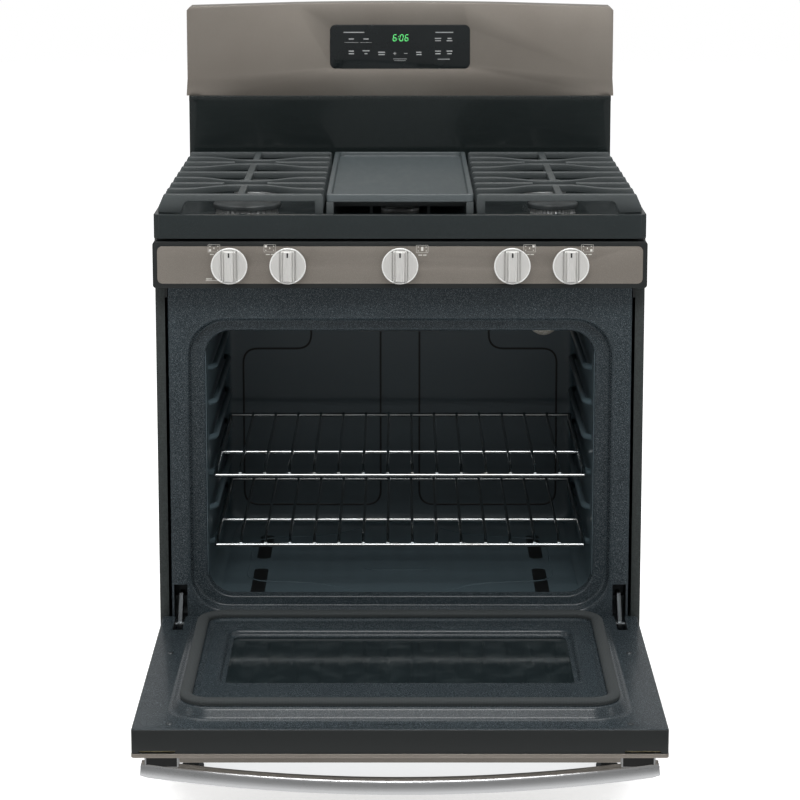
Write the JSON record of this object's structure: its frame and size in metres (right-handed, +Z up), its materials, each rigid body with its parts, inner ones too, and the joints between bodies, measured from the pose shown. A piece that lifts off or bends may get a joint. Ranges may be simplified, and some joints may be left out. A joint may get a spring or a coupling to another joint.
{
  "type": "freestanding gas range",
  "caption": "Freestanding gas cooking range with a drop-down oven door, storage drawer, cast grates with a griddle, turn knobs and a rear control console.",
  "frame": {"origin": "on the floor, under the middle of the box that the range fills with its oven door down", "axes": "+Z up, -Y the way the oven door opens, +X to the right as seen from the front"},
  "size_m": [0.7608, 1.1765, 1.2],
  "materials": {
    "slate": "satin slate enamel",
    "black_enamel": "gloss black enamel",
    "speckled_enamel": "speckled oven enamel",
    "cast_iron": "matt enamelled casting",
    "aluminium": "cast aluminium",
    "ceramic": "glazed ceramic",
    "chrome_wire": "plated wire",
    "brushed_steel": "brushed",
    "zinc_steel": "galvanised sheet",
    "glass_black": "dark glass",
    "glass_clear": "heat-resistant glass",
    "gasket": "woven silicone cord",
    "wool": "mineral wool",
    "circuit_board": "solder mask"
  },
  "bodies": {
    "cabinet": {"side_panel_left": "black_enamel", "side_panel_right": "black_enamel", "rear_panel": "zinc_steel", "base_pan": "zinc_steel", "levelling_legs": "zinc_steel", "oven_front_frame": "speckled_enamel", "oven_liner": "speckled_enamel", "oven_floor_panel": "speckled_enamel", "oven_insulation": "wool", "bake_burner": "zinc_steel", "broil_burner": "zinc_steel", "oven_lamp": "glass_clear", "oven_temperature_probe": "zinc_steel", "cooktop": "black_enamel", "burner_bases": "aluminium", "burner_caps": "cast_iron", "spark_electrodes": "ceramic", "backsplash": "black_enamel", "console_shell": "slate", "console_glass": "glass_black", "console_circuit_board": "circuit_board", "control_panel": "slate", "control_panel_trim": "black_enamel", "gas_manifold": "zinc_steel", "gas_valves": "aluminium", "pressure_regulator": "zinc_steel", "gas_inlet_pipe": "zinc_steel", "hinge_mounts": "zinc_steel", "drawer_rails": "zinc_steel", "cabinet_screws": "zinc_steel"},
    "door": {"door_liner": "speckled_enamel", "door_gasket": "gasket", "door_inner_glass": "glass_clear", "door_window_glass": "glass_black", "door_outer_panel": "slate", "door_edge_frame": "black_enamel", "door_insulation": "wool", "door_handle": "brushed_steel", "handle_posts": "brushed_steel", "hinge_channels": "zinc_steel", "door_screws": "zinc_steel"},
    "drawer": {"drawer_front": "slate", "drawer_box": "zinc_steel", "drawer_runners": "zinc_steel"},
    "upper_rack": {"upper_rack": "chrome_wire"},
    "lower_rack": {"lower_rack": "chrome_wire"},
    "left_grate": {"left_grate": "cast_iron"},
    "right_grate": {"right_grate": "cast_iron"},
    "centre_grate": {"centre_grate": "cast_iron"},
    "griddle": {"griddle": "cast_iron"},
    "stem_1": {"valve_stem_1": "zinc_steel"},
    "knob_1": {"knob_1": "brushed_steel"},
    "stem_2": {"valve_stem_2": "zinc_steel"},
    "knob_2": {"knob_2": "brushed_steel"},
    "stem_3": {"valve_stem_3": "zinc_steel"},
    "knob_3": {"knob_3": "brushed_steel"},
    "stem_4": {"valve_stem_4": "zinc_steel"},
    "knob_4": {"knob_4": "brushed_steel"},
    "stem_5": {"valve_stem_5": "zinc_steel"},
    "knob_5": {"knob_5": "brushed_steel"}
  },
  "joints": [
    {"name": "door_hinge", "type": "hinge", "parent": "cabinet", "child": "door", "pos_m": [0, -0.06845, 0.26], "axis": [-1, 0, 0], "range_deg": [0, 91.1]},
    {"name": "drawer_slide", "type": "slide", "parent": "cabinet", "child": "drawer", "axis": [0, -1, 0], "range_m": [0, 0.38]},
    {"name": "upper_rack_slide", "type": "slide", "parent": "cabinet", "child": "upper_rack", "axis": [0, 1, 0], "range_m": [-0.3, 0]},
    {"name": "lower_rack_slide", "type": "slide", "parent": "cabinet", "child": "lower_rack", "axis": [0, 1, 0], "range_m": [-0.3, 0]},
    {"name": "left_grate_lift", "type": "slide", "parent": "cabinet", "child": "left_grate", "axis": [0, 0, 1], "range_m": [0, 0.06]},
    {"name": "right_grate_lift", "type": "slide", "parent": "cabinet", "child": "right_grate", "axis": [0, 0, 1], "range_m": [0, 0.06]},
    {"name": "centre_grate_lift", "type": "slide", "parent": "cabinet", "child": "centre_grate", "axis": [0, 0, 1], "range_m": [0, 0.06]},
    {"name": "griddle_lift", "type": "slide", "parent": "centre_grate", "child": "griddle", "axis": [0, 0, 1], "range_m": [0, 0.06]},
    {"name": "knob_1_push", "type": "slide", "parent": "cabinet", "child": "stem_1", "axis": [0, 1, 0], "range_m": [0, 0.003], "stiffness_N_per_m": 900, "springref_m": -0.002},
    {"name": "knob_1_turn", "type": "hinge", "parent": "stem_1", "child": "knob_1", "pos_m": [-0.261, -0.10245, 0.838], "axis": [0, -1, 0], "range_deg": [0, 230]},
    {"name": "knob_2_push", "type": "slide", "parent": "cabinet", "child": "stem_2", "axis": [0, 1, 0], "range_m": [0, 0.003], "stiffness_N_per_m": 900, "springref_m": -0.002},
    {"name": "knob_2_turn", "type": "hinge", "parent": "stem_2", "child": "knob_2", "pos_m": [-0.1715, -0.10245, 0.838], "axis": [0, -1, 0], "range_deg": [0, 230]},
    {"name": "knob_3_push", "type": "slide", "parent": "cabinet", "child": "stem_3", "axis": [0, 1, 0], "range_m": [0, 0.003], "stiffness_N_per_m": 900, "springref_m": -0.002},
    {"name": "knob_3_turn", "type": "hinge", "parent": "stem_3", "child": "knob_3", "pos_m": [0, -0.10245, 0.838], "axis": [0, -1, 0], "range_deg": [0, 230]},
    {"name": "knob_4_push", "type": "slide", "parent": "cabinet", "child": "stem_4", "axis": [0, 1, 0], "range_m": [0, 0.003], "stiffness_N_per_m": 900, "springref_m": -0.002},
    {"name": "knob_4_turn", "type": "hinge", "parent": "stem_4", "child": "knob_4", "pos_m": [0.1715, -0.10245, 0.838], "axis": [0, -1, 0], "range_deg": [0, 230]},
    {"name": "knob_5_push", "type": "slide", "parent": "cabinet", "child": "stem_5", "axis": [0, 1, 0], "range_m": [0, 0.003], "stiffness_N_per_m": 900, "springref_m": -0.002},
    {"name": "knob_5_turn", "type": "hinge", "parent": "stem_5", "child": "knob_5", "pos_m": [0.261, -0.10245, 0.838], "axis": [0, -1, 0], "range_deg": [0, 230]}
  ]
}
